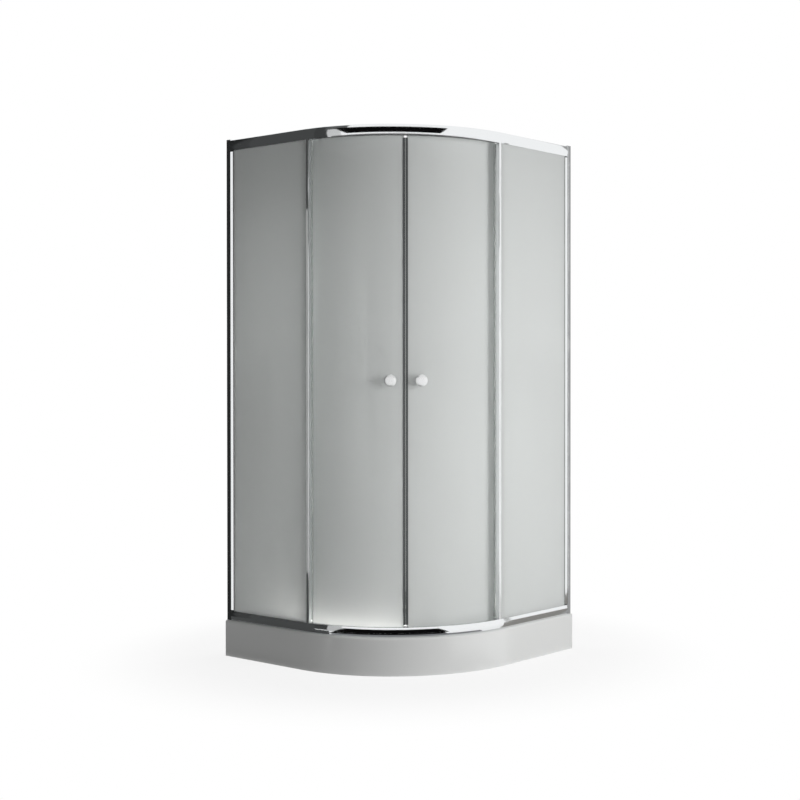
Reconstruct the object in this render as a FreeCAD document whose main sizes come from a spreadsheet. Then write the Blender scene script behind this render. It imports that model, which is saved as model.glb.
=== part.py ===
import FreeCAD
import Part
import math
import os
import Sketcher
from FreeCAD import Placement, Rotation, Vector

os.makedirs("parts", exist_ok=True)
doc = FreeCAD.newDocument("quadrant_shower")
sheet = doc.addObject("Spreadsheet::Sheet", "Sizes")

# Plain sizes in millimetres and degrees.
# An offset is measured inward from the tray's outer edge; a depth from the wall.
sizes = {
    "tray_side": 900,
    "front_radius": 500,
    "tray_height": 130,
    "tray_wall": 5,
    "rim_front": 76,
    "rim_back": 40,
    "basin_depth": 50,
    "basin_corner": 45,
    "skirt_round": 8,
    "tray_lip": 30,
    "waste_from_wall": 230,
    "waste_radius": 45,
    "board_thick": 12,
    "tube_size": 20,
    "foot_radius": 22,
    "foot_bolt": 5,
    "bar_inset": 110,
    "bar_past_middle": 120,
    "frame_inset": 10,
    "rail_depth": 33,
    "rail_crown": 2.5,
    "metal": 1.5,
    "rail_top": 1867,
    "cap_height": 3,
    "top_rail_height": 38,
    "low_rail_height": 33,
    "slot_width": 9,
    "glass": 5,
    "wall_profile_depth": 19.5,
    "side_nose_depth": 31,
    "nose_bevel": 1.6,
    "post_past_bend": 16,
    "post_width": 12,
    "post_depth": 13,
    "track_offset": 31.5,
    "door_offset": 61.5,
    "lead_angle": 40,
    "trail_angle": 2.5,
    "tail_angle": 2,
    "wheel_radius": 10,
    "guide_radius": 9,
    "wheel_width": 5,
    "pin_radius": 3,
    "running_gap": 0.3,
    "knob_level": 1000,
    "knob_radius": 21,
    "knob_reach": 34,
    "knob_angle": 38.4,
    "stop_travel": 200,
}


class Size:
    def __init__(self, value, text):
        self.value = float(value)
        self.text = text

    def __add__(self, other):
        other = size(other)
        return Size(self.value + other.value, "(%s + %s)" % (self.text, other.text))

    def __sub__(self, other):
        other = size(other)
        return Size(self.value - other.value, "(%s - %s)" % (self.text, other.text))

    def __mul__(self, other):
        other = size(other)
        return Size(self.value * other.value, "(%s * %s)" % (self.text, other.text))

    def __truediv__(self, other):
        other = size(other)
        return Size(self.value / other.value, "(%s / %s)" % (self.text, other.text))

    def __radd__(self, other):
        return size(other) + self

    def __rsub__(self, other):
        return size(other) - self

    def __rmul__(self, other):
        return size(other) * self

    def __neg__(self):
        return size(0) - self


def size(item):
    if isinstance(item, Size):
        return item
    if isinstance(item, str):
        return Size(sizes[item], "Sizes." + item)
    return Size(item, "(%r)" % float(item))


def cosine(angle):
    angle = size(angle)
    return Size(math.cos(math.radians(angle.value)), "cos(%s)" % angle.text)


def sine(angle):
    angle = size(angle)
    return Size(math.sin(math.radians(angle.value)), "sin(%s)" % angle.text)


for row, (alias, number) in enumerate(sizes.items(), start=1):
    sheet.set("A%d" % row, alias)
    sheet.set("B%d" % row, str(number))
    sheet.setAlias("B%d" % row, alias)
doc.recompute()

exported = []


def bind(thing, path, item):
    thing.setExpression(path, size(item).text)


def locate(thing, x=0, y=0, z=0, yaw=0):
    x, y, z, yaw = size(x), size(y), size(z), size(yaw)
    where = Vector(x.value, y.value, z.value)
    thing.Placement = Placement(where, Rotation(Vector(0, 0, 1), yaw.value))
    bind(thing, "Placement.Base.x", x)
    bind(thing, "Placement.Base.y", y)
    bind(thing, "Placement.Base.z", z)
    if yaw.text != "(0.0)":
        bind(thing, "Placement.Rotation.Angle", yaw)
    return thing


def new_body(label, node=True):
    body = doc.addObject("PartDesign::Body", label)
    body.Label = label
    if node:
        exported.append(body)
    return body


def plane_of(body, role):
    return [item for item in body.Origin.OriginFeatures if item.Role == role][0]


def draw(body, name, role, loops, level=0):
    # A sketch on one of the body's own planes, raised by level.
    # Each corner is held by its distances; a corner may carry an arc to the next one.
    sketch = body.newObject("Sketcher::SketchObject", body.Name + "_" + name)
    sketch.AttachmentSupport = (plane_of(body, role), [""])
    sketch.MapMode = "FlatFace"
    level = size(level)
    sketch.AttachmentOffset = Placement(Vector(0, 0, level.value), Rotation())
    if level.text != "(0.0)":
        bind(sketch, "AttachmentOffset.Base.z", level)
    for loop in loops:
        add_loop(sketch, loop)
    return sketch


def add_loop(sketch, loop):
    first = sketch.GeometryCount
    count = len(loop)
    corners = [(size(entry[0]), size(entry[1])) for entry in loop]
    starts = []
    for index in range(count):
        here = corners[index]
        after = corners[(index + 1) % count]
        begin = Vector(here[0].value, here[1].value, 0)
        end = Vector(after[0].value, after[1].value, 0)
        if len(loop[index]) == 2:
            sketch.addGeometry(Part.LineSegment(begin, end), False)
            starts.append((1, 2))
            continue
        radius, turn = size(loop[index][2]), loop[index][3]
        sketch.addGeometry(arc_between(begin, end, radius.value, turn), False)
        starts.append((1, 2) if turn > 0 else (2, 1))
    for index in range(count):
        follow = (index + 1) % count
        sketch.addConstraint(Sketcher.Constraint(
            "Coincident", first + index, starts[index][1], first + follow, starts[follow][0]))
    for index in range(count):
        hold_point(sketch, first + index, starts[index][0], corners[index])
        if len(loop[index]) > 2:
            radius = size(loop[index][2])
            sketch.addConstraint(Sketcher.Constraint("Radius", first + index, radius.value))
            bind(sketch, "Constraints[%d]" % (sketch.ConstraintCount - 1), radius)


def hold_point(sketch, piece, end, corner):
    for kind, along in (("DistanceX", corner[0]), ("DistanceY", corner[1])):
        sketch.addConstraint(Sketcher.Constraint(kind, -1, 1, piece, end, along.value))
        bind(sketch, "Constraints[%d]" % (sketch.ConstraintCount - 1), along)


def arc_between(begin, end, radius, turn):
    # The shorter arc; turn is 1 anticlockwise and -1 clockwise.
    middle = (begin + end) * 0.5
    half = (end - begin) * 0.5
    across = Vector(-half.y, half.x, 0).normalize()
    reach = math.sqrt(max(radius * radius - half.Length ** 2, 0))
    centre = middle + across * (reach * turn)
    circle = Part.Circle(centre, Vector(0, 0, 1), radius)
    low = math.atan2(begin.y - centre.y, begin.x - centre.x)
    high = math.atan2(end.y - centre.y, end.x - centre.x)
    if turn < 0:
        low, high = high, low
    return Part.ArcOfCircle(circle, low, high)


def pad(body, sketch, length, name="pad"):
    feature = body.newObject("PartDesign::Pad", body.Name + "_" + name)
    feature.Profile = sketch
    feature.Length = size(length).value
    bind(feature, "Length", length)
    body.Tip = feature
    doc.recompute()
    return feature


def pocket(body, sketch, length, name="pocket", down=True):
    feature = body.newObject("PartDesign::Pocket", body.Name + "_" + name)
    feature.Profile = sketch
    feature.Length = size(length).value
    bind(feature, "Length", length)
    feature.Reversed = not down
    body.Tip = feature
    doc.recompute()
    return feature


def turn(body, sketch, axis, name="turned"):
    feature = body.newObject("PartDesign::Revolution", body.Name + "_" + name)
    feature.Profile = sketch
    feature.ReferenceAxis = (sketch, [axis])
    feature.Angle = 360
    body.Tip = feature
    doc.recompute()
    return feature


def round_edges(body, radius, test, name="round"):
    before = body.Tip
    names = []
    for index, edge in enumerate(before.Shape.Edges, start=1):
        if test(edge):
            names.append("Edge%d" % index)
    feature = body.newObject("PartDesign::Fillet", body.Name + "_" + name)
    feature.Base = (before, names)
    feature.Radius = size(radius).value
    bind(feature, "Radius", radius)
    body.Tip = feature
    doc.recompute()
    return feature


def turned_across(label, steps, x=0, y=0, z=0, yaw=0, node=False):
    # Turned about its own X axis from pairs of distance and radius.
    body = new_body(label, node)
    loop = [(steps[0][0], 0)] + list(steps) + [(steps[-1][0], 0)]
    turn(body, draw(body, "outline", "XZ_Plane", [loop]), "H_Axis")
    return locate(body, x, y, z, yaw)


def turned_upright(label, steps, x=0, y=0, z=0, node=False):
    # Turned about its own Z axis from pairs of height and radius.
    body = new_body(label, node)
    loop = [(0, steps[0][0])] + [(wide, high) for high, wide in steps] + [(0, steps[-1][0])]
    turn(body, draw(body, "outline", "XZ_Plane", [loop]), "V_Axis")
    return locate(body, x, y, z)


def prism(label, loops, low, high, x=0, y=0, yaw=0, node=True):
    body = new_body(label, node)
    sketch = draw(body, "plan", "XY_Plane", loops, low)
    pad(body, sketch, size(high) - size(low))
    return locate(body, x, y, 0, yaw)


def gather(label, members):
    gathered = doc.addObject("Part::Compound", label)
    gathered.Label = label
    gathered.Links = members
    return gathered


def group(label, members):
    gathered = gather(label, members)
    exported.append(gathered)
    return gathered


def mirrored(label, source, node=True):
    # The left-hand piece is the right-hand one seen across the diagonal.
    copy = doc.addObject("Part::Mirroring", label)
    copy.Label = label
    copy.Source = source
    copy.Base = Vector(0, 0, 0)
    copy.Normal = Vector(1, 1, 0)
    if node:
        exported.append(copy)
    return copy


half = size("tray_side") / 2
front = size("front_radius")
centre_x = half - front
centre_y = front - half
rim = size("tray_height")
inset = size("frame_inset")
metal = size("metal")
glass = size("glass")
gap = size("running_gap")
rail_top = size("rail_top")
top_base = rail_top - size("top_rail_height")
low_top = rim + size("low_rail_height")
straight = size("tray_side") - front
post_middle = straight + size("post_past_bend")
slot_out = inset + metal
slot_in = slot_out + size("slot_width")
divider_in = slot_in + metal
rail_in = inset + size("rail_depth")
pane_out = slot_out + (size("slot_width") - glass) / 2
pane_in = pane_out + glass
nose = size("side_nose_depth")
rail_end = size("wall_profile_depth") + 0.5


def plan(offset, depth):
    # A point beside the right-hand wall, at the end of the straight run.
    return half - size(offset), half - size(depth)


def right_loop(points):
    return [plan(offset, depth) for offset, depth in points]


def rounded_plan(offset, back, corner):
    # The tray's plan shape drawn inward by offset at the front and by back at the walls.
    offset, back, corner = size(offset), size(back), size(corner)
    edge = half - offset
    wall = half - back
    bend = front - offset
    return [
        (-wall + corner, -edge),
        (centre_x, -edge, bend, 1),
        (edge, centre_y),
        (edge, wall - corner, corner, 1),
        (edge - corner, wall),
        (-wall + corner, wall, corner, 1),
        (-wall, wall - corner),
        (-wall, -edge + corner, corner, 1),
    ]


# Tray: shallow lipped sheet, hollow underneath, with the basin let into the top.
tray_wall = size("tray_wall")
lip_low = rim - size("tray_lip")
basin_floor = rim - size("basin_depth")
tray = new_body("tray")
outer = [
    (-half, -half),
    (centre_x, -half, front, 1),
    (half, centre_y),
    (half, half),
    (-half, half),
]
pad(tray, draw(tray, "outside", "XY_Plane", [outer], lip_low), "tray_lip", "shell")
front_edges = lambda edge: edge.BoundBox.ZMin > rim.value - 1 and (
    edge.BoundBox.XMax > half.value - 1 and edge.BoundBox.YMin < half.value - 1
    or edge.BoundBox.YMin < -half.value + 1 and edge.BoundBox.XMax > -half.value + 1)
front_edges_only = lambda edge: front_edges(edge) and not (
    edge.BoundBox.XMax < -half.value + 1 or edge.BoundBox.YMin > half.value - 1)
round_edges(tray, "skirt_round", front_edges_only, "lip")
inner = rounded_plan(tray_wall, tray_wall, 3)
pocket(tray, draw(tray, "under", "XY_Plane", [inner], lip_low),
       size("tray_lip") - tray_wall, "hollow", False)
tub = rounded_plan(size("rim_front") - tray_wall, size("rim_back") - tray_wall, "basin_corner")
pad(tray, draw(tray, "tub", "XY_Plane", [tub], basin_floor - tray_wall),
    size("basin_depth") + tray_wall / 2, "basin")
bowl = rounded_plan("rim_front", "rim_back", size("basin_corner") - tray_wall)
pocket(tray, draw(tray, "bowl", "XY_Plane", [bowl], rim), "basin_depth", "bowl")
waste_x = size("waste_from_wall") - half
waste_y = half - size("waste_from_wall")


def circle_sketch(body, name, x, y, radius, level):
    x, y, radius = size(x), size(y), size(radius)
    sketch = draw(body, name, "XY_Plane", [], level)
    middle = Vector(x.value, y.value, 0)
    sketch.addGeometry(Part.Circle(middle, Vector(0, 0, 1), radius.value), False)
    hold_point(sketch, 0, 3, (x, y))
    sketch.addConstraint(Sketcher.Constraint("Radius", 0, radius.value))
    bind(sketch, "Constraints[%d]" % (sketch.ConstraintCount - 1), radius)
    return sketch


pocket(tray, circle_sketch(tray, "drain", waste_x, waste_y, "waste_radius", basin_floor),
       tray_wall * 2, "drain")

# Front panel below the lip, open along both walls.
within = half - tray_wall
panel_plan = [
    (-half, -half),
    (centre_x, -half, front, 1),
    (half, centre_y),
    (half, half),
    (within, half),
    (within, centre_y, front - tray_wall, -1),
    (centre_x, -within),
    (-half, -within),
]
prism("front_panel", [panel_plan], 0, lip_low)

# Reinforcing board under the basin, with a clear hole round the waste.
board_top = basin_floor - tray_wall
board_low = board_top - size("board_thick")
board = new_body("base_board")
board_plan = rounded_plan(size("rim_front") + 14, size("rim_back") + 14, 30)
pad(board, draw(board, "plan", "XY_Plane", [board_plan], board_low), "board_thick")
pocket(board, circle_sketch(board, "hole", waste_x, waste_y, size("waste_radius") + 21,
                            board_top), size("board_thick") * 2, "hole")

# Welded support frame of square tube: two bars across and one between and beyond them.
tube = size("tube_size")
tube_low = board_low - tube
bar_end = half - size("bar_inset")
bar_back = bar_end
bar_mid = -size("bar_past_middle")
spine_x = size("bar_inset")


def tube_body(label, along_x, low, high, place):
    # One straight square tube, hollow along its length.
    body = new_body(label, False)
    role = "YZ_Plane" if along_x else "XZ_Plane"
    wide = tube / 2
    thin = wide - 1.5
    mark = size(1) if along_x else size(-1)
    ring = []
    for reach in (wide, thin):
        ring.append([
            (mark * (place - reach), tube_low + wide - reach),
            (mark * (place + reach), tube_low + wide - reach),
            (mark * (place + reach), tube_low + wide + reach),
            (mark * (place - reach), tube_low + wide + reach),
        ])
    if not along_x:
        ring = [[(mark * across, up) for across, up in loop] for loop in ring]
    start = low if along_x else -high
    sketch = draw(body, "section", role, ring, start)
    pad(body, sketch, size(high) - size(low))
    return body


bars = [
    tube_body("bar_back", True, -bar_end, bar_end, bar_back),
    tube_body("bar_middle", True, -bar_end, bar_end, bar_mid),
    tube_body("bar_spine_back", False, bar_mid + tube / 2, bar_back - tube / 2, spine_x),
    tube_body("bar_spine_front", False, -bar_end, bar_mid - tube / 2, spine_x),
]
frame = doc.addObject("Part::MultiFuse", "support_frame")
frame.Label = "support_frame"
frame.Shapes = bars
exported.append(frame)

# Five adjustable feet: pad, threaded rod and lock nut.
foot_places = [
    (-bar_end + 20, bar_back),
    (bar_end - 20, bar_back),
    (-bar_end + 20, bar_mid),
    (bar_end - 20, bar_mid),
    (spine_x, -bar_end + 20),
]
bolt = size("foot_bolt")
foot = size("foot_radius")
pads_made = []
rods_made = []
nuts_made = []
for number, (foot_x, foot_y) in enumerate(foot_places, start=1):
    pads_made.append(turned_upright("foot_pad_%d" % number, [
        (0, foot), (5, foot), (12, bolt + 5), (16, bolt + 5)], foot_x, foot_y))
    rods_made.append(turned_upright("foot_rod_%d" % number, [
        (16, bolt), (tube_low, bolt)], foot_x, foot_y))
    nut = new_body("foot_nut_%d" % number, False)
    flat = (bolt + 4) * 2 / math.sqrt(3)
    six = []
    for step in range(6):
        six.append((cosine(60 * step) * flat, sine(60 * step) * flat))
    pad(nut, draw(nut, "plan", "XY_Plane", [six], tube_low - 8), 8)
    ream = circle_sketch(nut, "bore", 0, 0, bolt, tube_low)
    pocket(nut, ream, 9, "bore")
    nuts_made.append(locate(nut, foot_x, foot_y, 0))
group("foot_pads", pads_made)
group("foot_rods", rods_made)
group("foot_nuts", nuts_made)

# Screws that hold the frame up to the board.
screws_made = []
for number, place_x in enumerate((-bar_end + 60, size(0), bar_end - 60), start=1):
    for row, place_y in enumerate((bar_back, bar_mid)):
        screws_made.append(turned_upright("frame_screw_%d%d" % (number, row), [
            (tube_low - 2.5, 4.5), (tube_low, 4.5)], place_x, place_y))
group("frame_screws", screws_made)

# Waste: trap body with side spigot, rubber seal, metal flange, inner cup and domed cover.
hole = size("waste_radius")
trap_top = board_top - 3
trap = new_body("waste_trap")
turn(trap, draw(trap, "outline", "XZ_Plane", [[
    (0, 6), (hole - 5, 6), (hole + 2, 12), (hole + 2, trap_top - 6), (hole + 14, trap_top - 4),
    (hole + 14, trap_top), (hole - 3, trap_top), (hole - 3, 10), (0, 10)]]), "V_Axis")
spout = circle_sketch(trap, "spout", 0, 0, 20, 0)
spout.AttachmentSupport = (plane_of(trap, "YZ_Plane"), [""])
spout.AttachmentOffset = Placement(Vector(0, 0, 0), Rotation())
spout.setExpression("AttachmentOffset.Base.z", (-(hole + 50)).text)
spout.delConstraint(1)
spout.delConstraint(0)
hold_point(spout, 0, 3, (size(0), size(34)))
pad(trap, spout, 52, "spout")
collar = circle_sketch(trap, "collar", 0, 0, 24, 0)
collar.AttachmentSupport = (plane_of(trap, "YZ_Plane"), [""])
collar.AttachmentOffset = Placement(Vector(0, 0, 0), Rotation())
collar.setExpression("AttachmentOffset.Base.z", (-(hole + 7)).text)
collar.delConstraint(1)
collar.delConstraint(0)
hold_point(collar, 0, 3, (size(0), size(34)))
pad(trap, collar, 9, "collar")
spout_hole = circle_sketch(trap, "spout_hole", 0, 0, 18, 0)
spout_hole.AttachmentSupport = (plane_of(trap, "YZ_Plane"), [""])
spout_hole.AttachmentOffset = Placement(Vector(0, 0, 0), Rotation())
spout_hole.setExpression("AttachmentOffset.Base.z", (-(hole + 51)).text)
spout_hole.delConstraint(1)
spout_hole.delConstraint(0)
hold_point(spout_hole, 0, 3, (size(0), size(34)))
pocket(trap, spout_hole, 62, "spout_hole", False)
locate(trap, waste_x, waste_y, 0)
turned_rings = {
    "waste_seal": [(hole - 3, trap_top), (hole + 14, trap_top), (hole + 14, board_top),
                   (hole - 3, board_top)],
    "waste_flange": [(hole - 5, trap_top - 12), (hole - 3.4, trap_top - 12),
                     (hole - 3.4, basin_floor), (hole + 8, basin_floor),
                     (hole + 8, basin_floor + 1.5), (hole - 5, basin_floor + 1.5)],
    "waste_cup": [(0, 16), (hole - 16, 16), (hole - 16, basin_floor - 3),
                  (hole - 5.2, basin_floor - 3), (hole - 5.2, basin_floor - 1),
                  (hole - 18, basin_floor - 1), (hole - 18, 18), (0, 18)],
    "waste_cover": [(0, basin_floor + 7), (hole - 2, basin_floor + 7),
                    (hole + 7.5, basin_floor + 1.6), (hole + 9, basin_floor + 4),
                    (hole - 1, basin_floor + 9.5), (0, basin_floor + 11)],
}
for label, ring in turned_rings.items():
    body = new_body(label)
    turn(body, draw(body, "outline", "XZ_Plane", [ring]), "V_Axis")
    locate(body, waste_x, waste_y, 0)

# Wall profile: a U fixed to the wall, with its screw holes.
wall_out = inset - metal - 0.2
side_in = inset + 20
wall_in = side_in + metal + 0.2
depth = size("wall_profile_depth")
profile = new_body("wall_profile_right")
pad(profile, draw(profile, "section", "XY_Plane", [right_loop([
    (wall_out, 0), (wall_in, 0), (wall_in, depth), (wall_in - metal, depth),
    (wall_in - metal, metal), (wall_out + metal, metal), (wall_out + metal, depth),
    (wall_out, depth)])], rim), rail_top - rim)
middle_offset = (wall_out + wall_in) / 2
screw_levels = [rim + 120, (rim + rail_top) / 2, rail_top - 120]
adjust_levels = [rim + 180, (rim + rail_top) / 2 + 40, rail_top - 180]
adjust_depth = size(11)


def drill_row(body, name, role, level, spots, radius, length, down=True):
    # A row of round holes cut square to one of the body's planes.
    sketch = draw(body, name, role, [], level)
    for number, spot in enumerate(spots):
        middle = Vector(spot[0].value, spot[1].value, 0)
        sketch.addGeometry(Part.Circle(middle, Vector(0, 0, 1), radius), False)
        hold_point(sketch, number, 3, spot)
        sketch.addConstraint(Sketcher.Constraint("Radius", number, radius))
    doc.recompute()
    before = body.Tip.Shape.Volume
    pocket(body, sketch, length, name, down)
    if body.Tip.Shape.Volume > before - 1:
        raise RuntimeError("no hole cut: " + name)


drill_row(profile, "wall_holes", "XZ_Plane", -half,
          [(half - middle_offset, level) for level in screw_levels], 2.75, metal * 3, False)
drill_row(profile, "adjuster_holes", "YZ_Plane", half - wall_in + 3,
          [(half - adjust_depth, level) for level in adjust_levels], 1.85, 5)

# Side profile: slides in the wall profile and carries the fixed pane in its nose.
side = new_body("side_profile_right")
side_back = size(3)
box_out = inset
pad(side, draw(side, "section", "XY_Plane", [
    right_loop([(box_out, side_back), (side_in, side_back), (side_in, rail_end),
                (box_out, rail_end)]),
    right_loop([(box_out + metal, side_back + metal), (side_in - metal, side_back + metal),
                (side_in - metal, rail_end - metal), (box_out + metal, rail_end - metal)]),
], rim), rail_top - rim, "box")
block = size(4)
legs = [
    right_loop([(inset, rail_end - 1), (slot_out, rail_end - 1), (slot_out, nose),
                (inset - 1 + size("nose_bevel"), nose), (inset - 1, rail_end),
                (inset, rail_end)]),
    right_loop([(slot_in, rail_end - 1), (divider_in, rail_end - 1), (divider_in, nose),
                (slot_in, nose)]),
]
pad(side, draw(side, "nose", "XY_Plane", legs, low_top + block),
    top_base - low_top - block * 2, "nose")
drill_row(side, "adjuster_holes", "YZ_Plane", half - side_in + 2,
          [(half - adjust_depth, level) for level in adjust_levels], 1.85, 3)
rail_screw_levels = [rail_top - metal - 4.2, low_top - metal - 4.2]
drill_row(side, "rail_holes", "XZ_Plane", rail_end + 1 - half,
          [(half - divider_in - 3.3, level) for level in rail_screw_levels], 1.7, 3.5)

# Cap over the top of both profiles.
cap = new_body("profile_cap_right")
pad(cap, draw(cap, "plan", "XY_Plane", [right_loop([
    (wall_out, 0), (wall_in, 0), (wall_in, rail_end), (wall_out, rail_end)])], rail_top),
    "cap_height")
round_edges(cap, 1.5, lambda edge: edge.BoundBox.ZMin > rail_top.value + 1)

# Small black blocks between the nose and the rails.
blocks = []
for number, low in enumerate((low_top, top_base - block), start=1):
    shape = right_loop([
        (inset, rail_end), (divider_in, rail_end), (divider_in, nose), (slot_in, nose),
        (slot_in, rail_end + 1.8), (slot_out, rail_end + 1.8), (slot_out, nose), (inset, nose)])
    blocks.append(prism("corner_block_%d" % number, [shape], low, low + block, node=False))
corner_right = gather("corner_blocks_right", blocks)

# Fixed pane and the rubber that holds three of its edges.
pane_low = rim + 6
pane_high = rail_top - 6
post_start = post_middle - size("post_width") / 2
post_end = post_middle + size("post_width") / 2
pane_right = prism("fixed_glass_right", [right_loop([
    (pane_out, rail_end + 2), (pane_in, rail_end + 2), (pane_in, post_start + 6),
    (pane_out, post_start + 6)])], pane_low, pane_high)


def box_object(label, offset_a, offset_b, depth_a, depth_b, low, high):
    box = doc.addObject("Part::Box", label)
    low_corner = plan(offset_b, depth_b)
    for path, item in (
            ("Length", size(offset_b) - size(offset_a)),
            ("Width", size(depth_b) - size(depth_a)),
            ("Height", size(high) - size(low))):
        setattr(box, path, item.value)
        bind(box, path, item)
    return locate(box, low_corner[0], low_corner[1], low)


def cut(label, base, tool, node=True):
    result = doc.addObject("Part::Cut", label)
    result.Label = label
    result.Base = base
    result.Tool = tool
    if node:
        exported.append(result)
    return result


rubber_block = box_object("rubber_block", slot_out, slot_in, rail_end + 1.8, straight - 0.2,
                          pane_low - 4, pane_high + 4)
rubber_window = box_object("rubber_window", slot_out - 1, slot_in + 1, nose, straight + 9,
                           low_top, top_base)
rubber_frame = cut("rubber_frame", rubber_block, rubber_window, False)
rubber_pane = box_object("rubber_pane", pane_out, pane_in, rail_end + 2, straight + 6,
                         pane_low, pane_high)
gasket_right = cut("glazing_gasket_right", rubber_frame, rubber_pane)

# Upright post on the pane's free edge, and its soft fin towards the door.
post_out = inset + 0.5
post_in = post_out + size("post_depth")
post_right = prism("post_right", [
    right_loop([
        (post_out, post_start), (pane_out - 0.2, post_start), (pane_out - 0.2, post_start + 6.2),
        (pane_in + 0.2, post_start + 6.2), (pane_in + 0.2, post_start), (post_in, post_start),
        (post_in, post_end), (post_out, post_end)]),
    right_loop([
        (pane_in + 1.7, post_start + 1.5), (post_in - 1.5, post_start + 1.5),
        (post_in - 1.5, post_end - 1.5), (pane_in + 1.7, post_end - 1.5)]),
], low_top, top_base)
round_edges(post_right, 1.2, lambda edge: edge.Length > 1000
            and edge.BoundBox.XMin > (half - post_out).value - 0.01)
fin_tip = size("door_offset") - 21
fin_right = prism("post_seal_right", [right_loop([
    (post_in, post_start + 1), (fin_tip, post_start + 1), (fin_tip, post_start + 2.5),
    (post_in + 2, post_start + 2.5), (post_in + 2, post_start + 10), (post_in, post_start + 10)])],
    low_top, top_base)

# Rails: one bent profile each, swept along the straight runs and the bend.


def swept_rail(label, section, base, fillets):
    body = new_body(label)
    path = body.newObject("Sketcher::SketchObject", label + "_path")
    path.AttachmentSupport = (plane_of(body, "XY_Plane"), [""])
    path.MapMode = "FlatFace"
    start = (-half + rail_end, -half)
    bend_in = (centre_x, -half)
    bend_out = (half, centre_y)
    finish = (half, half - rail_end)
    points = [Vector(item[0].value, item[1].value, 0) for item in (start, bend_in, bend_out, finish)]
    path.addGeometry(Part.LineSegment(points[0], points[1]), False)
    path.addGeometry(arc_between(points[1], points[2], front.value, 1), False)
    path.addGeometry(Part.LineSegment(points[2], points[3]), False)
    path.addConstraint(Sketcher.Constraint("Coincident", 0, 2, 1, 1))
    path.addConstraint(Sketcher.Constraint("Coincident", 1, 2, 2, 1))
    hold_point(path, 0, 1, start)
    hold_point(path, 1, 1, bend_in)
    hold_point(path, 1, 2, bend_out)
    hold_point(path, 2, 2, finish)
    path.addConstraint(Sketcher.Constraint("Radius", 1, front.value))
    bind(path, "Constraints[%d]" % (path.ConstraintCount - 1), front)
    loop = [(-half + item[0], size(base) + item[1]) + tuple(item[2:]) for item in section]
    outline = draw(body, "section", "YZ_Plane", [loop], start[0])
    doc.recompute()
    pipe = body.newObject("PartDesign::AdditivePipe", label + "_sweep")
    pipe.Profile = outline
    pipe.Spine = (path, ["Edge1", "Edge2", "Edge3"])
    body.Tip = pipe
    doc.recompute()
    for number, (radius, up) in enumerate(fillets):
        level = (size(base) + up).value
        face = half - inset

        def outside(edge):
            box = edge.BoundBox
            flat = abs(box.ZMin - level) < 0.01 and abs(box.ZMax - level) < 0.01
            reach = max(box.XMax - face.value, -face.value - box.YMin)
            return flat and abs(reach) < 0.01 and edge.Length > 100
        round_edges(body, radius, outside, "bend%d" % number)
    return body


tall = size("top_rail_height")
crown = size("rail_crown")


def crown_radius(height):
    # The bow of a face that stands out by the crown in its middle.
    return (height * height / 4 + crown * crown) / (crown * 2)


roof = tall - metal
port = divider_in + 6.5
shelf = size(6)
lip = rail_in - metal
top_rail = swept_rail("top_rail", [
    (inset, 0, crown_radius(tall), -1), (inset, tall), (rail_in, tall), (rail_in, tall - 7), (lip, tall - 7),
    (lip, roof), (port, roof), (port, roof - 6.5), (port - metal, roof - 6.5),
    (port - metal, roof - 2), (divider_in + 1.6, roof - 2), (divider_in + 1.6, roof - 6.5),
    (divider_in, roof - 6.5), (divider_in, shelf + metal), (lip, shelf + metal), (lip, shelf + 5),
    (rail_in, shelf + 5), (rail_in, shelf), (divider_in, shelf), (divider_in, 0), (slot_in, 0),
    (slot_in, roof), (slot_out, roof), (slot_out, 0)], top_base, [(3, tall)])
short = size("low_rail_height")
cover = short - metal
low_rail = swept_rail("bottom_rail", [
    (inset, 0, crown_radius(short), -1), (inset, short), (slot_out, short), (slot_out, metal), (slot_in, metal),
    (slot_in, short), (rail_in - 7, short), (rail_in - 7, cover), (port, cover),
    (port, cover - 6.5), (port - metal, cover - 6.5), (port - metal, cover - 2),
    (divider_in + 1.6, cover - 2), (divider_in + 1.6, cover - 6.5), (divider_in, cover - 6.5),
    (divider_in, metal), (lip, metal), (lip, 6.5), (rail_in, 6.5), (rail_in, 0)],
    rim, [])

# Strip that closes the empty pane slot of the lower rail between the posts.
strip_out = front - slot_out - 0.1
strip_in = front - slot_in + 0.1
strip_low = low_top - 2.5
side_turn = (size("post_past_bend") + size("post_width") / 2 + 4) / strip_in * math.degrees(1)
strip = prism("slot_strip", [[
    (cosine(-90 + side_turn) * strip_out, sine(-90 + side_turn) * strip_out, strip_out, 1),
    (cosine(-side_turn) * strip_out, sine(-side_turn) * strip_out),
    (cosine(-side_turn) * strip_in, sine(-side_turn) * strip_in, strip_in, -1),
    (cosine(-90 + side_turn) * strip_in, sine(-90 + side_turn) * strip_in),
]], strip_low, low_top - 0.3, centre_x, centre_y)

# Screws through the side profile into the rails.
rail_screws = []
for number, level in enumerate(rail_screw_levels, start=1):
    place = plan(divider_in + 3.3, rail_end - metal)
    rail_screws.append(turned_across("rail_screw_%d" % number, [
        (0, 3.2), (2, 3.2), (2, 1.6), (18, 1.6)], place[0], place[1] + 2, level, -90))
screws_right = gather("rail_screws_right", rail_screws)

# Screws that join the wall profile and the side profile from inside the cabin.
adjusters = []
for number, level in enumerate(adjust_levels, start=1):
    place = plan(wall_in + 2, adjust_depth)
    adjusters.append(turned_across("adjuster_%d" % number, [
        (0, 4), (2, 4), (2, 1.75), (10, 1.75)], place[0], place[1], level))
adjusters_right = gather("adjusting_screws_right", adjusters)

# Rubber stop on the upper track, at the end of the door's travel.
stop_far = straight - size("stop_travel")
stop_right = prism("door_stop_right", [right_loop([
    (divider_in, stop_far), (lip, stop_far), (lip, stop_far - 14), (divider_in, stop_far - 14)])],
    top_base + shelf + metal, top_base + shelf + metal + 14)

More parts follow.
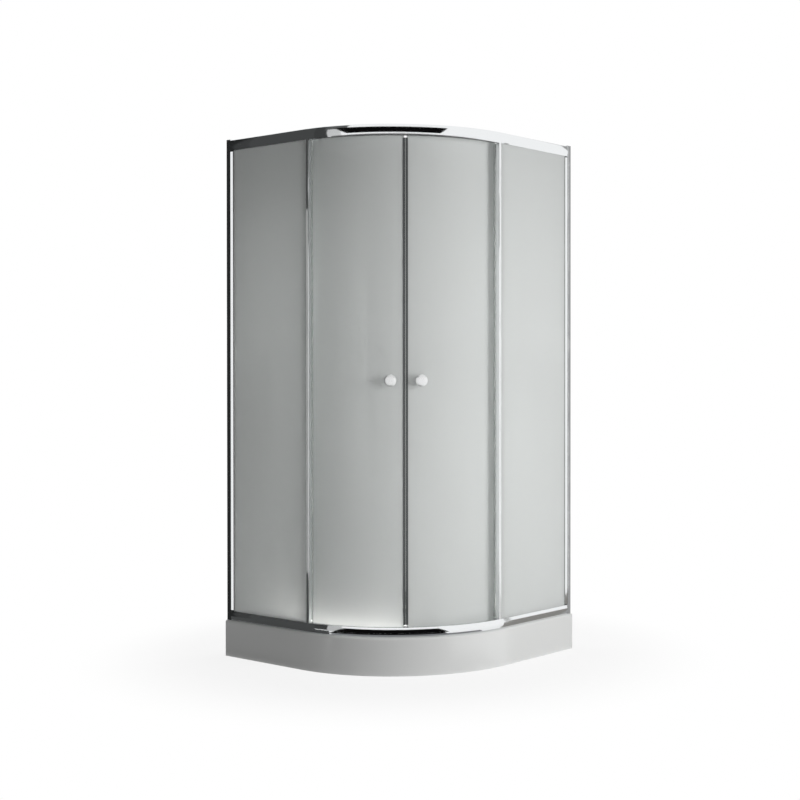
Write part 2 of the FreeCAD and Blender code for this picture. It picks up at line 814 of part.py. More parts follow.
# Door: curved pane with the holes for its rollers and knobs.
door_mid = front - size("door_offset")
door_far = door_mid + glass / 2
door_near = door_mid - glass / 2
edge_turn = 45 - size(4.4) / door_mid * math.degrees(1)
tail = size("tail_angle")
wheel_level = top_base + shelf + metal + gap + size("wheel_radius")
guide_level = rim + metal + gap + size("guide_radius")
door_low = rim + 5
door_high = wheel_level + 15
door = prism("door_glass_right", [[
    (cosine(-edge_turn) * door_far, sine(-edge_turn) * door_far, door_far, 1),
    (cosine(tail) * door_far, sine(tail) * door_far),
    (cosine(tail) * door_near, sine(tail) * door_near, door_near, -1),
    (cosine(-edge_turn) * door_near, sine(-edge_turn) * door_near),
]], door_low, door_high, centre_x, centre_y, node=False)
lead = size("lead_angle")
trail = size("trail_angle")
knob_turn = size("knob_angle")
pin = size("pin_radius")
drills = []
spots = [(lead, wheel_level, "top_lead"), (trail, wheel_level, "top_trail"),
         (lead, guide_level, "low_lead"), (trail, guide_level, "low_trail")]
for angle, level, word in spots + [(knob_turn, size("knob_level"), "knob")]:
    drills.append(turned_across("glass_hole_" + word, [
        (door_near - 5, pin + 0.4), (door_far + 5, pin + 0.4)],
        centre_x, centre_y, level, -angle))
holes = doc.addObject("Part::Compound", "glass_holes")
holes.Links = drills
door_right = cut("door_glass_right_drilled", door, holes)
door.Label = "door_blank"
door_right.Label = "door_glass_right"

# Magnetic strip on the closing edge and finned strip on the trailing edge.
magnet = prism("magnet_seal_right", [[
    (door_near - 2, 0.4), (door_far + 2, 0.4), (door_far + 2, 8.4), (door_far + 0.02, 8.4),
    (door_far + 0.02, 4), (door_near - 0.12, 4), (door_near - 0.12, 8.4), (door_near - 2, 8.4),
]], low_top + 1, top_base - 1, centre_x, centre_y, -45)
trailing = prism("trailing_seal_right", [[
    (door_near - 1.5, 3), (door_far + 13, 3), (door_far + 13, 1.5), (door_far + 1.5, 1.5),
    (door_far + 1.5, -8), (door_far + 0.1, -8), (door_far + 0.1, 0.2), (door_near - 0.1, 0.2),
    (door_near - 0.1, -8), (door_near - 1.5, -8),
]], low_top + 1, top_base - 1, centre_x, centre_y, tail)

# Rollers: wheel, shouldered pin through the pane, and domed nut inside.
track = front - size("track_offset")
wheel_out = track + size("wheel_width") / 2
wheel_in = track - size("wheel_width") / 2
pins_made = []
domes_made = []
wheels = []
for angle, level, word in spots:
    pins_made.append(turned_across("pin_" + word, [
        (door_near - 5, pin), (door_far, pin), (door_far, 9), (door_far + 2, 9),
        (door_far + 2, pin + 1), (wheel_in - gap, pin + 1), (wheel_in - gap, pin),
        (wheel_out - 1.8, pin), (wheel_out - 1.8, pin + 1.8), (wheel_out - gap, pin + 1.8)],
        centre_x, centre_y, level, -angle))
    dome = turned_across("dome_" + word, [
        (door_near - 9, 4), (door_near - 8, 6.5), (door_near - 2, 7), (door_near - 2, 9),
        (door_near - 0.1, 9)], centre_x, centre_y, level, -angle)
    bore = turned_across("dome_bore_" + word, [
        (door_near - 5.2, pin + 0.1), (door_near + 1, pin + 0.1)],
        centre_x, centre_y, level, -angle)
    domes_made.append(cut("domed_nut_" + word, dome, bore, False))
    radius = size("wheel_radius") if word.startswith("top") else size("guide_radius")
    body = new_body("wheel_" + word + "_right")
    turn(body, draw(body, "outline", "XZ_Plane", [[
        (wheel_in, pin + gap), (wheel_in, radius), (wheel_out, radius),
        (wheel_out, pin + 2.2), (wheel_out - 2.1, pin + 2.2), (wheel_out - 2.1, pin + gap),
    ]]), "H_Axis")
    wheels.append(locate(body, centre_x, centre_y, level, -angle))
pins_right = group("roller_pins_right", pins_made)
domes_right = group("roller_nuts_right", domes_made)

# Knobs on both faces of the door, joined by one screw.
reach = size("knob_reach")
grip = size("knob_radius")


def knob(label, face, way):
    body = new_body(label)
    way = size(way)
    outline = [
        (face, 2.8), (face, 13), (face + way * 3, 13), (face + way * 4, 9),
        (face + way * (reach - 20), 9), (face + way * (reach - 14), grip - 3),
        (face + way * (reach - 10), grip), (face + way * (reach - 6), grip - 0.5),
        (face + way * (reach - 2.5), grip - 5), (face + way * (reach - 0.7), grip - 11),
        (face + way * reach, 0), (face + way * (reach - 14), 0), (face + way * (reach - 14), 2.8),
    ]
    turn(body, draw(body, "outline", "XZ_Plane", [outline]), "H_Axis")
    return locate(body, centre_x, centre_y, "knob_level", -knob_turn)


knob_out = knob("knob_outer_right", door_far, 1)
knob_in = knob("knob_inner_right", door_near - 0.2, -1)
knob_screw = turned_across("knob_screw_right", [
    (door_near - reach + 16, 2.5), (door_far + reach - 16, 2.5)],
    centre_x, centre_y, "knob_level", -knob_turn, True)

# Left-hand pieces, and the groups that hold both sides.
for name, source in (("corner_blocks", corner_right), ("rail_screws", screws_right),
                     ("adjusting_screws", adjusters_right)):
    group(name, [source, mirrored(name + "_left", source, False)])
pairs = [profile, side, cap, pane_right, gasket_right, post_right, fin_right, stop_right,
         door_right, magnet, trailing, pins_right, domes_right, knob_out, knob_in, knob_screw]
pairs += wheels
for source in pairs:
    mirrored(source.Label.replace("right", "left"), source)
doc.recompute()

for thing in doc.Objects:
    wrong = [word for word in thing.State if word in ("Invalid", "Error")]
    if wrong:
        raise RuntimeError("not built: %s %s" % (thing.Label, wrong))
total = 0
for thing in exported:
    shape = thing.Shape
    if shape.isNull() or not shape.isValid() or not shape.Solids:
        raise RuntimeError("bad shape: " + thing.Label)
    shape.exportStep("parts/%s.step" % thing.Label)
    total += 1
print("pieces written:", total)
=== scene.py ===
import math

import bpy
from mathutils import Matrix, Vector

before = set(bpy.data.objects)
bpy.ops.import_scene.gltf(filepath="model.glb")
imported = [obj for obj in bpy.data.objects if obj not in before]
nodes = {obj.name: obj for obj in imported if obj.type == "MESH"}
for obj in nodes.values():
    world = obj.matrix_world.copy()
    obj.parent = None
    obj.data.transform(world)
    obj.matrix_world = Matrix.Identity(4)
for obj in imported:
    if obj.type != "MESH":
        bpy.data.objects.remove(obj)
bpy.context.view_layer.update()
mm = 0.001
print("frame loaded:", len(nodes), "nodes")


def linear(hexColour):
    # sRGB hex to the linear values that the shader sockets take
    parts = [int(hexColour[i:i + 2], 16) / 255 for i in (1, 3, 5)]
    return tuple(p / 12.92 if p <= 0.04045 else ((p + 0.055) / 1.055) ** 2.4 for p in parts) + (1.0,)


def addNode(tree, kind, settings=None, links=None):
    # a node with its settings and its incoming links; a setting is a socket by name or index,
    # the stops of a colour ramp, or else a property of the node
    node = tree.nodes.new(kind)
    for name, value in (settings or {}).items():
        if isinstance(name, int) or name in node.inputs:
            node.inputs[name].default_value = value
        elif name == "stops":
            setStops(node.color_ramp.elements, value)
        else:
            setattr(node, name, value)
    for name, source in (links or {}).items():
        tree.links.new(source, node.inputs[name])
    return node


def setStops(elements, stops):
    while len(elements) < len(stops):
        elements.new(0.5)
    for element, (place, colour) in zip(elements, stops):
        element.position = place
        element.color = linear(colour)


def newMaterial(name):
    # patterns use object coordinates: metres in the row frame, because every object sits at the origin
    material = bpy.data.materials.new(name)
    material.use_nodes = True
    material.node_tree.nodes.clear()
    return material, material.node_tree


# the part of a noise that carries its pattern
noiseRange = {"From Min": 0.3, "From Max": 0.7}


def chromePlate():
    # bright chrome plate on drawn aluminium: a clean mirror, with faint hand marks and fine draw lines
    look = {"base": "#EEF0F1", "roughLow": 0.05, "roughHigh": 0.12, "smudge": 70 * mm,
            "line": 1.6 * mm, "lineBump": 0.02, "lineDepth": 0.2 * mm}
    material, tree = newMaterial("chromePlatedAluminium")
    space = addNode(tree, "ShaderNodeTexCoord").outputs["Object"]
    smudge = addNode(tree, "ShaderNodeTexNoise",
                     {"Scale": 1 / look["smudge"], "Detail": 4.0, "Roughness": 0.6}, {"Vector": space})
    rough = addNode(tree, "ShaderNodeMapRange",
                    {"From Min": 0.35, "From Max": 0.7,
                     "To Min": look["roughLow"], "To Max": look["roughHigh"]},
                    {"Value": smudge.outputs["Fac"]})
    drawn = addNode(tree, "ShaderNodeTexNoise", {"Scale": 1 / look["line"], "Detail": 2.0}, {"Vector": space})
    bump = addNode(tree, "ShaderNodeBump", {"Strength": look["lineBump"], "Distance": look["lineDepth"]},
                   {"Height": drawn.outputs["Fac"]})
    metal = addNode(tree, "ShaderNodeBsdfPrincipled", {"Base Color": linear(look["base"]), "Metallic": 1.0},
                    {"Roughness": rough.outputs["Result"], "Normal": bump.outputs["Normal"]})
    addNode(tree, "ShaderNodeOutputMaterial", links={"Surface": metal.outputs["BSDF"]})
    return material


def satinChrome():
    # the knobs: chrome over moulded plastic, brushed to a soft sheen, so they look pale all round
    look = {"base": "#F1F2F2", "metal": 0.6, "roughLow": 0.26, "roughHigh": 0.36, "grain": 1.2 * mm}
    material, tree = newMaterial("satinChromedPlastic")
    space = addNode(tree, "ShaderNodeTexCoord").outputs["Object"]
    grain = addNode(tree, "ShaderNodeTexNoise", {"Scale": 1 / look["grain"], "Detail": 3.0}, {"Vector": space})
    rough = addNode(tree, "ShaderNodeMapRange",
                    {**noiseRange, "To Min": look["roughLow"], "To Max": look["roughHigh"]},
                    {"Value": grain.outputs["Fac"]})
    body = addNode(tree, "ShaderNodeBsdfPrincipled",
                   {"Base Color": linear(look["base"]), "Metallic": look["metal"]},
                   {"Roughness": rough.outputs["Result"]})
    addNode(tree, "ShaderNodeOutputMaterial", links={"Surface": body.outputs["BSDF"]})
    return material


def satinGlass():
    # toughened float glass etched on its face: milky, passes soft light, keeps a faint green-grey colour;
    # the etch grain is under 0.1 mm, too fine to show, so it is drawn larger, as a soft sparkle
    look = {"front": "#EEF0EF", "through": "#EBEDEC", "clear": 0.2, "milky": 0.35, "ior": 1.5,
            "roughLow": 0.31, "roughHigh": 0.43, "cloud": 260 * mm,
            "grain": 2.2 * mm, "grainBump": 0.05, "grainDepth": 0.1 * mm}
    material, tree = newMaterial("satinEtchedGlass")
    space = addNode(tree, "ShaderNodeTexCoord").outputs["Object"]
    grain = addNode(tree, "ShaderNodeTexNoise",
                    {"Scale": 1 / look["grain"], "Detail": 3.0, "Roughness": 0.7}, {"Vector": space})
    bump = addNode(tree, "ShaderNodeBump", {"Strength": look["grainBump"], "Distance": look["grainDepth"]},
                   {"Height": grain.outputs["Fac"]})
    cloud = addNode(tree, "ShaderNodeTexNoise", {"Scale": 1 / look["cloud"], "Detail": 2.0}, {"Vector": space})
    rough = addNode(tree, "ShaderNodeMapRange",
                    {**noiseRange, "To Min": look["roughLow"], "To Max": look["roughHigh"]},
                    {"Value": cloud.outputs["Fac"]})
    face = addNode(tree, "ShaderNodeBsdfPrincipled",
                   {"Base Color": linear(look["front"]), "IOR": look["ior"],
                    "Transmission Weight": look["clear"]},
                   {"Roughness": rough.outputs["Result"], "Normal": bump.outputs["Normal"]})
    through = addNode(tree, "ShaderNodeBsdfTranslucent", {"Color": linear(look["through"])},
                      {"Normal": bump.outputs["Normal"]})
    both = addNode(tree, "ShaderNodeMixShader", {"Fac": look["milky"]},
                   {1: face.outputs["BSDF"], 2: through.outputs["BSDF"]})
    addNode(tree, "ShaderNodeOutputMaterial", links={"Surface": both.outputs["Shader"]})
    return material


def castAcrylic():
    # vacuum-formed white acrylic: glossy, very slightly wavy where the sheet was drawn over the mould
    look = {"white": "#E6E7E6", "shade": "#E3E4E3", "roughLow": 0.16, "roughHigh": 0.2, "ior": 1.49,
            "coat": 0.3, "coatRough": 0.06, "wave": 240 * mm, "waveBump": 0.05, "waveDepth": 1 * mm}
    material, tree = newMaterial("whiteCastAcrylic")
    space = addNode(tree, "ShaderNodeTexCoord").outputs["Object"]
    wave = addNode(tree, "ShaderNodeTexNoise", {"Scale": 1 / look["wave"], "Detail": 2.0}, {"Vector": space})
    colour = addNode(tree, "ShaderNodeValToRGB", {"stops": [(0.3, look["shade"]), (0.7, look["white"])]},
                     {"Fac": wave.outputs["Fac"]})
    rough = addNode(tree, "ShaderNodeMapRange",
                    {**noiseRange, "To Min": look["roughLow"], "To Max": look["roughHigh"]},
                    {"Value": wave.outputs["Fac"]})
    bump = addNode(tree, "ShaderNodeBump", {"Strength": look["waveBump"], "Distance": look["waveDepth"]},
                   {"Height": wave.outputs["Fac"]})
    sheet = addNode(tree, "ShaderNodeBsdfPrincipled",
                    {"IOR": look["ior"], "Coat Weight": look["coat"], "Coat Roughness": look["coatRough"]},
                    {"Base Color": colour.outputs["Color"], "Roughness": rough.outputs["Result"],
                     "Normal": bump.outputs["Normal"]})
    addNode(tree, "ShaderNodeOutputMaterial", links={"Surface": sheet.outputs["BSDF"]})
    return material


def moulded(name, dark, light, rough, grainSize):
    # injection-moulded plastic or rubber: even colour, a fine spark-eroded grain that softens its shine
    look = {"grainBump": 0.08, "grainDepth": 0.2 * mm}
    material, tree = newMaterial(name)
    space = addNode(tree, "ShaderNodeTexCoord").outputs["Object"]
    grain = addNode(tree, "ShaderNodeTexNoise", {"Scale": 1 / grainSize, "Detail": 3.0}, {"Vector": space})
    colour = addNode(tree, "ShaderNodeValToRGB", {"stops": [(0.3, dark), (0.7, light)]},
                     {"Fac": grain.outputs["Fac"]})
    bump = addNode(tree, "ShaderNodeBump", {"Strength": look["grainBump"], "Distance": look["grainDepth"]},
                   {"Height": grain.outputs["Fac"]})
    body = addNode(tree, "ShaderNodeBsdfPrincipled", {"Roughness": rough},
                   {"Base Color": colour.outputs["Color"], "Normal": bump.outputs["Normal"]})
    addNode(tree, "ShaderNodeOutputMaterial", links={"Surface": body.outputs["BSDF"]})
    return material


def clearVinyl():
    # soft extruded PVC: nearly clear, faintly cloudy, shines along its lips
    look = {"body": "#EDF0EF", "clear": "#F6F8F7", "rough": 0.12, "ior": 1.53, "passes": 0.85, "cloud": 6 * mm}
    material, tree = newMaterial("clearSoftVinyl")
    space = addNode(tree, "ShaderNodeTexCoord").outputs["Object"]
    cloud = addNode(tree, "ShaderNodeTexNoise", {"Scale": 1 / look["cloud"], "Detail": 3.0}, {"Vector": space})
    colour = addNode(tree, "ShaderNodeValToRGB", {"stops": [(0.3, look["body"]), (0.7, look["clear"])]},
                     {"Fac": cloud.outputs["Fac"]})
    body = addNode(tree, "ShaderNodeBsdfPrincipled",
                   {"Roughness": look["rough"], "IOR": look["ior"], "Transmission Weight": look["passes"]},
                   {"Base Color": colour.outputs["Color"]})
    addNode(tree, "ShaderNodeOutputMaterial", links={"Surface": body.outputs["BSDF"]})
    return material


def platedSteel(name, dark, light, roughLow, roughHigh, spangle):
    # zinc on steel: a matt bluish grey whose crystals differ a little in shade
    material, tree = newMaterial(name)
    space = addNode(tree, "ShaderNodeTexCoord").outputs["Object"]
    cells = addNode(tree, "ShaderNodeTexVoronoi", {"Scale": 1 / spangle}, {"Vector": space})
    shade = addNode(tree, "ShaderNodeSeparateColor", links={0: cells.outputs["Color"]})
    colour = addNode(tree, "ShaderNodeValToRGB", {"stops": [(0.0, dark), (1.0, light)]},
                     {"Fac": shade.outputs[0]})
    rough = addNode(tree, "ShaderNodeMapRange", {"To Min": roughLow, "To Max": roughHigh},
                    {"Value": shade.outputs[1]})
    body = addNode(tree, "ShaderNodeBsdfPrincipled", {"Metallic": 1.0},
                   {"Base Color": colour.outputs["Color"], "Roughness": rough.outputs["Result"]})
    addNode(tree, "ShaderNodeOutputMaterial", links={"Surface": body.outputs["BSDF"]})
    return material


def chipboard():
    # pressed wood flakes, sealed with resin: mixed tan chips about 5 mm long
    look = {"dark": "#8F7350", "middle": "#AE9168", "light": "#CBB188", "rough": 0.6,
            "chip": 5 * mm, "chipBump": 0.3, "chipDepth": 0.4 * mm}
    material, tree = newMaterial("sealedChipboard")
    space = addNode(tree, "ShaderNodeTexCoord").outputs["Object"]
    chips = addNode(tree, "ShaderNodeTexVoronoi", {"Scale": 1 / look["chip"]}, {"Vector": space})
    shade = addNode(tree, "ShaderNodeSeparateColor", links={0: chips.outputs["Color"]})
    colour = addNode(tree, "ShaderNodeValToRGB",
                     {"stops": [(0.0, look["dark"]), (0.5, look["middle"]), (1.0, look["light"])]},
                     {"Fac": shade.outputs[0]})
    bump = addNode(tree, "ShaderNodeBump", {"Strength": look["chipBump"], "Distance": look["chipDepth"]},
                   {"Height": chips.outputs["Distance"]})
    body = addNode(tree, "ShaderNodeBsdfPrincipled", {"Roughness": look["rough"]},
                   {"Base Color": colour.outputs["Color"], "Normal": bump.outputs["Normal"]})
    addNode(tree, "ShaderNodeOutputMaterial", links={"Surface": body.outputs["BSDF"]})
    return material


finishes = {
    "chrome": chromePlate(),
    "satin_chrome": satinChrome(),
    "satin_glass": satinGlass(),
    "acrylic": castAcrylic(),
    "black_plastic": moulded("blackPolypropylene", "#131313", "#1C1C1D", 0.45, 0.8 * mm),
    "white_plastic": moulded("whitePolypropylene", "#DCDDDB", "#E6E7E5", 0.4, 0.8 * mm),
    "nylon": moulded("whiteNylon", "#D8D8D3", "#E3E3DE", 0.35, 0.6 * mm),
    "dark_seal": moulded("darkRubber", "#1B1B1D", "#26262A", 0.6, 0.5 * mm),
    "magnet": moulded("greyMagnetVinyl", "#4E5151", "#5C5F5F", 0.4, 0.8 * mm),
    "clear_seal": clearVinyl(),
    "zinc": platedSteel("zincPlatedSteel", "#A9ADB0", "#BFC3C6", 0.28, 0.4, 1.5 * mm),
    "steel": platedSteel("galvanisedSteelTube", "#8B9093", "#A6ABAE", 0.38, 0.55, 9 * mm),
    "board": chipboard(),
}
print("materials made:", len(finishes))

# which nodes take which finish; a star stands for the rest of a name
nodeFinish = {
    "acrylic": ["tray", "front_panel"],
    "board": ["base_board"],
    "steel": ["support_frame"],
    "zinc": ["foot_rods", "foot_nuts", "frame_screws", "rail_screws", "adjusting_screws",
             "roller_pins_*", "knob_screw_*"],
    "black_plastic": ["foot_pads", "corner_blocks"],
    "white_plastic": ["waste_trap", "waste_cup"],
    "dark_seal": ["waste_seal", "door_stop_*"],
    "chrome": ["waste_flange", "waste_cover", "top_rail", "bottom_rail", "wall_profile_*",
               "side_profile_*", "profile_cap_*", "post_left", "post_right", "roller_nuts_*"],
    "satin_chrome": ["knob_outer_*", "knob_inner_*"],
    "clear_seal": ["slot_strip", "glazing_gasket_*", "post_seal_*", "trailing_seal_*"],
    "satin_glass": ["fixed_glass_*", "door_glass_*"],
    "magnet": ["magnet_seal_*"],
    "nylon": ["wheel_*"],
}


def fits(name, pattern):
    return name.startswith(pattern[:-1]) if pattern.endswith("*") else name == pattern


def setFinish(obj, finish):
    slots = obj.data.materials
    if not slots:
        slots.append(finishes[finish])
    for place in range(len(slots)):
        slots[place] = finishes[finish]
    obj["finish"] = finish


for finish, patterns in nodeFinish.items():
    for name, obj in nodes.items():
        if any(fits(name, pattern) for pattern in patterns):
            setFinish(obj, finish)
print("nodes without a finish:", [name for name, obj in nodes.items() if "finish" not in obj])


def addObject(name, data):
    obj = bpy.data.objects.new(name, data)
    bpy.context.scene.collection.objects.link(obj)
    return obj


def meshObject(name, vertices, faces):
    mesh = bpy.data.meshes.new(name)
    mesh.from_pydata(vertices, [], faces)
    return addObject(name, mesh)


def levelSquare(half, height):
    # corners and face of a level square about the middle of the tray
    corners = [(-half, -half, height), (half, -half, height), (half, half, height), (-half, half, height)]
    return corners, [(0, 1, 2, 3)]


def directRays(tree):
    # 1 for rays from the camera, from mirror-like faces and through clear bodies, 0 for diffuse light
    rays = addNode(tree, "ShaderNodeLightPath").outputs
    mirrored = addNode(tree, "ShaderNodeMath", {"operation": "MAXIMUM"},
                       {0: rays["Is Camera Ray"], 1: rays["Is Glossy Ray"]})
    passed = addNode(tree, "ShaderNodeMath", {"operation": "MAXIMUM"},
                     {0: mirrored.outputs[0], 1: rays["Is Transmission Ray"]})
    direct = addNode(tree, "ShaderNodeMath", {"operation": "SUBTRACT", "use_clamp": True},
                     {0: passed.outputs[0], 1: rays["Is Diffuse Ray"]})
    return direct.outputs[0]


def studioFloor():
    # pale floor: keeps the shadow near the object and turns into the plain white background further out
    look = {"half": 30.0, "colour": "#F0F0F0", "white": "#FFFFFF", "near": 0.86,
            "clearFrom": 0.6, "clearTo": 1.2}
    floor = meshObject("studioFloor", *levelSquare(look["half"], 0))
    material, tree = newMaterial("paintedStudioFloor")
    space = addNode(tree, "ShaderNodeTexCoord").outputs["Object"]
    length = addNode(tree, "ShaderNodeVectorMath", {"operation": "LENGTH"}, {0: space})
    away = addNode(tree, "ShaderNodeMapRange",
                   {"From Min": look["clearFrom"], "From Max": look["clearTo"], "To Min": look["near"],
                    "To Max": 1.0, "interpolation_type": "SMOOTHSTEP"}, {"Value": length.outputs["Value"]})
    share = addNode(tree, "ShaderNodeMath", {"operation": "MULTIPLY"},
                    {0: directRays(tree), 1: away.outputs["Result"]})
    paint = addNode(tree, "ShaderNodeBsdfDiffuse", {"Color": linear(look["colour"])})
    white = addNode(tree, "ShaderNodeEmission", {"Color": linear(look["white"]), "Strength": 1.0})
    both = addNode(tree, "ShaderNodeMixShader",
                   links={"Fac": share.outputs[0], 1: paint.outputs["BSDF"], 2: white.outputs["Emission"]})
    addNode(tree, "ShaderNodeOutputMaterial", links={"Surface": both.outputs["Shader"]})
    floor.data.materials.append(material)


def studioWorld():
    # soft fill for diffuse light; direct rays see the plain white background
    look = {"white": "#FFFFFF", "low": 0.33, "high": 0.3, "from": 0.2, "to": 0.8}
    world = bpy.data.worlds.new("softStudio")
    bpy.context.scene.world = world
    world.use_nodes = True
    tree = world.node_tree
    tree.nodes.clear()
    direction = addNode(tree, "ShaderNodeTexCoord")
    parts = addNode(tree, "ShaderNodeSeparateXYZ", links={0: direction.outputs["Generated"]})
    strength = addNode(tree, "ShaderNodeMapRange",
                       {"From Min": look["from"], "From Max": look["to"], "To Min": look["low"],
                        "To Max": look["high"]}, {"Value": parts.outputs["Z"]})
    fill = addNode(tree, "ShaderNodeBackground", {"Color": linear(look["white"])},
                   {"Strength": strength.outputs["Result"]})
    white = addNode(tree, "ShaderNodeBackground", {"Color": linear(look["white"]), "Strength": 1.0})
    both = addNode(tree, "ShaderNodeMixShader",
                   links={"Fac": directRays(tree), 1: fill.outputs["Background"],
                          2: white.outputs["Background"]})
    addNode(tree, "ShaderNodeOutputWorld", links={"Surface": both.outputs["Shader"]})


def cardSurface(name, vertices, faces, colour, strength=1.0):
    # an even surface that glows in its own colour, which only mirror-like faces see unless the caller says
    # otherwise
    card = meshObject(name, vertices, faces)
    material, tree = newMaterial(name + "Emitter")
    emitter = addNode(tree, "ShaderNodeEmission", {"Color": linear(colour), "Strength": strength})
    addNode(tree, "ShaderNodeOutputMaterial", links={"Surface": emitter.outputs["Emission"]})
    card.data.materials.append(material)
    card.visible_camera = card.visible_diffuse = card.visible_transmission = card.visible_shadow = False
    return card


def strip(lower, upper):
    # faces between two rows of as many points
    count = len(lower)
    return lower + upper, [(i, i + 1, count + i + 1, count + i) for i in range(count - 1)]


# where the front bend of the tray is centred, which the cards follow, and the steps of an arc round it
bend = {"x": -0.05, "y": 0.05, "steps": 32}


def arc(radius, span, height):
    # points round the bend between two angles in degrees
    start, end = span
    turns = [math.radians(start + (end - start) * i / bend["steps"]) for i in range(bend["steps"] + 1)]
    return [(bend["x"] + radius * math.cos(turn), bend["y"] + radius * math.sin(turn), height)
            for turn in turns]


def ring(firstRadius, secondRadius, span, height):
    return strip(arc(firstRadius, span, height), arc(secondRadius, span, height))


def darkCeiling():
    # the room above the studio is dark, so the light on upright faces fades towards their top
    look = {"half": 2.0, "height": 2.15, "colour": "#1E1E1E"}
    ceiling = cardSurface("darkCeiling", *levelSquare(look["half"], look["height"]), look["colour"])
    ceiling.visible_diffuse = ceiling.visible_transmission = ceiling.visible_shadow = True
    ceiling.visible_glossy = False


def paintedBasinGlow():
    # painted glow: a glowing strip, which is no lamp, stands in for the light that the white basin close
    # behind the panes sends through the lower edge of the satin glass; only light that passes through glass
    # meets this strip
    look = {"near": 0.35, "far": 0.44, "span": (-122, -46), "height": 0.137,
            "colour": "#FEF9F7", "strength": 8.0}
    shape = ring(look["far"], look["near"], look["span"], look["height"])
    glow = cardSurface("paintedBasinGlow", *shape, look["colour"], look["strength"])
    glow.visible_transmission = True
    glow.visible_glossy = False


# painted reflections: dark, grey and pale cards round the object, seen only by mirror-like faces,
# paint onto the chrome the dark bands and pale patches that it shows in a studio;
# these bend round the front between two heights, from one angle to another along the lower edge,
# and along the upper edge too unless it has its own
bentCards = {
    "frontCardHigh": {"radius": 1.05, "heights": (1.79, 2.105), "colour": "#080808",
                      "lowEdge": (-81.5, -22), "highEdge": (-91.5, -16)},
    "underCardHigh": {"radius": 1.05, "heights": (1.52, 1.728), "colour": "#5A5A5A", "lowEdge": (-93, 22)},
    "frontCardLow": {"radius": 0.95, "heights": (0.004, 0.24), "colour": "#080808",
                     "lowEdge": (-91, -16.5), "highEdge": (-83, -24)},
    "highGapCard": {"radius": 1.08, "heights": (1.6, 2.06), "colour": "#CDCDCD",
                    "lowEdge": (-96, -86), "highEdge": (-96.5, -86)},
    "highFadeCard": {"radius": 1.08, "heights": (2.06, 2.3), "colour": "#5A5B5B",
                     "lowEdge": (-99, -84), "highEdge": (-99, -80)},
    "lowGapCard": {"radius": 1.08, "heights": (0.004, 0.45), "colour": "#BDBDBD", "lowEdge": (-96.5, -86)},
    "leftCardWall": {"radius": 1.25, "heights": (0.01, 2.4), "colour": "#262727",
                     "lowEdge": (-155, -132.6)},
    "leftCardOuter": {"radius": 1.25, "heights": (0.01, 2.4), "colour": "#3F4040",
                      "lowEdge": (-132.6, -127.5)},
    "leftCardInner": {"radius": 1.25, "heights": (0.01, 2.4), "colour": "#3F4040",
                      "lowEdge": (-118.6, -97)},
    "leftPostCard": {"radius": 1.25, "heights": (0.01, 2.4), "colour": "#A9AAA9",
                     "lowEdge": (-122.5, -118.6)},
}
# upright flat ones, from one place in plan to another
uprightCards = {
    "leftCardHigh": {"start": (-0.525, -0.62), "end": (-0.12, -0.62), "heights": (1.62, 2.15),
                     "colour": "#474848"},
    "leftCardLow": {"start": (-0.525, -0.62), "end": (-0.12, -0.62), "heights": (0.004, 0.3),
                    "colour": "#474848"},
    "rightCard": {"start": (0.6, 0.65), "end": (0.6, 1.3), "heights": (0.004, 2.3), "colour": "#A0A0A0"},
    "rightPostCard": {"start": (0.695, 0.366), "end": (0.695, 0.395), "heights": (0.14, 1.8),
                      "colour": "#9B9C9B"},
    "rightCardLow": {"start": (1.0, 0.74), "end": (0.85, 1.5), "heights": (0.004, 0.1), "colour": "#8C8A86"},
}
# flat ones that lie just above the floor, with four corners in plan
floorHeight = 3 * mm
floorCards = {
    "leftFloorCard": {"corners": [(-1.15, -1.02), (-0.15, -1.02), (0.02, -0.47), (-1.15, -0.47)],
                      "colour": "#4A4B4B"},
    "rightFloorCard": {"corners": [(0.46, 0.07), (1.0, 0.74), (0.85, 1.5), (0.46, 1.5)],
                       "colour": "#8C8A86"},
}
# rings just above the floor, seen only in reflections, between two radii
floorRings = {
    "frontRing": {"near": 0.76, "far": 0.95, "span": (-91, -20), "colour": "#080808"},
    "frontRingGrey": {"near": 0.53, "far": 0.76, "span": (-88, 2), "colour": "#808183"},
}


# painted reflections: glowing cards that only mirror-like faces see
def paintedReflectionCards():
    for name, look in bentCards.items():
        low, high = look["heights"]
        lowEdge = look["lowEdge"]
        highEdge = look.get("highEdge", lowEdge)
        shape = strip(arc(look["radius"], lowEdge, low), arc(look["radius"], highEdge, high))
        cardSurface(name, *shape, look["colour"])
    for name, look in uprightCards.items():
        shape = strip(*[[(*look["start"], height), (*look["end"], height)] for height in look["heights"]])
        cardSurface(name, *shape, look["colour"])
    for name, look in floorCards.items():
        cardSurface(name, [(x, y, floorHeight) for x, y in look["corners"]], [(0, 1, 2, 3)], look["colour"])
    for name, look in floorRings.items():
        cardSurface(name, *ring(look["near"], look["far"], look["span"], floorHeight), look["colour"])


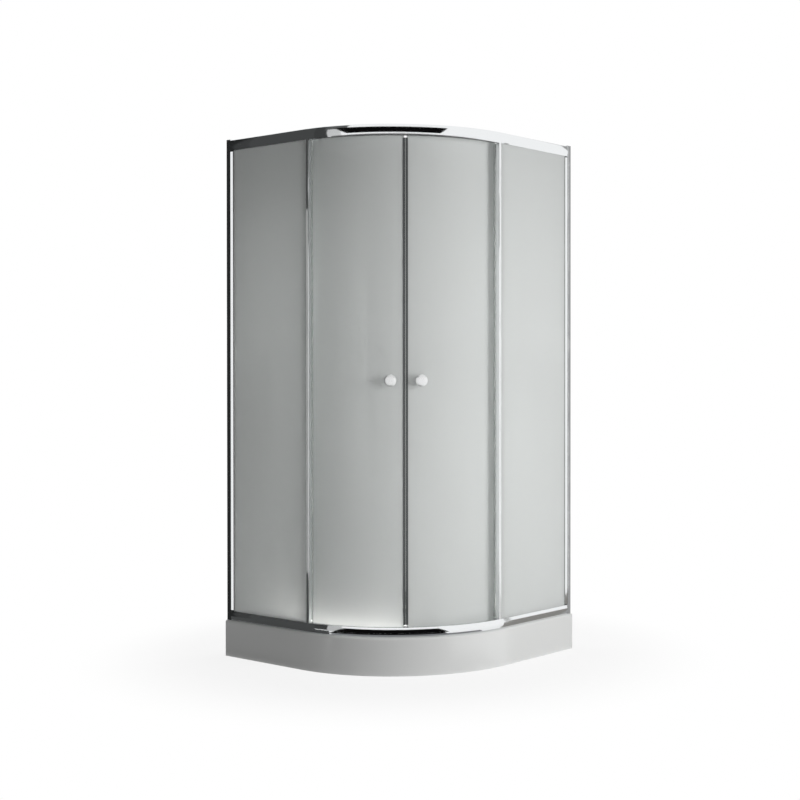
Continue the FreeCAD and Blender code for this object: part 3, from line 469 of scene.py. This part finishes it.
# soft lamps with their power in watts; the narrow cone of the last one keeps its light on the tray
lamps = {
    "keyLamp": {"place": (3.2, 0.2, 1.3), "target": (0.4, 0.0, 1.2), "size": (1.6, 1.2), "power": 56},
    "backLamp": {"place": (-3.0, 0.9, 1.1), "target": (0, 0, 0.9), "size": (1.4, 1.2), "power": 13},
    "cabinLamp": {"place": (-0.15, 0.15, 1.2), "target": (0.3, -0.3, 1.2), "size": (0.4, 0.6), "power": 4.6},
    "basinLamp": {"place": (-0.1, 0.1, 1.3), "target": (-0.1, 0.1, 0), "size": (0.45, 0.45), "power": 2.6,
                  "cone": 75},
}


def softLamp(name, look):
    lamp = bpy.data.lights.new(name, "AREA")
    lamp.shape = "RECTANGLE"
    lamp.size, lamp.size_y = look["size"]
    lamp.energy = look["power"]
    lamp.spread = math.radians(look.get("cone", 180))
    obj = addObject(name, lamp)
    obj.location = look["place"]
    obj.rotation_mode = "QUATERNION"
    obj.rotation_quaternion = (Vector(look["target"]) - Vector(look["place"])).to_track_quat("-Z", "Z")
    obj.visible_camera = obj.visible_glossy = obj.visible_transmission = False


studioFloor()
studioWorld()
darkCeiling()
# painted glow along the foot of the satin panes
paintedBasinGlow()
paintedReflectionCards()
for name, look in lamps.items():
    softLamp(name, look)
print("studio made")


def photoCamera():
    # fitted to the outlines in the photograph: angles in degrees, focus and middle in pixels of its frame
    look = {"place": (3.5588, -3.8625, 1.0228), "turn": 38.691, "tip": 0.549, "focus": 1426.6,
            "middle": (500.0, 387.48), "frame": 800, "sensor": 36, "farClip": 200}
    camera = addObject("camera", bpy.data.cameras.new("camera"))
    camera.location = look["place"]
    camera.rotation_euler = (math.radians(90 - look["tip"]), 0, math.radians(look["turn"]))
    camera.data.sensor_width = look["sensor"]
    camera.data.lens = look["focus"] / look["frame"] * look["sensor"]
    camera.data.shift_x = 0.5 - look["middle"][0] / look["frame"]
    camera.data.shift_y = look["middle"][1] / look["frame"] - 0.5
    camera.data.clip_end = look["farClip"]
    bpy.context.scene.camera = camera


photoCamera()
bpy.context.scene.view_settings.view_transform = "Standard"
print("camera set")
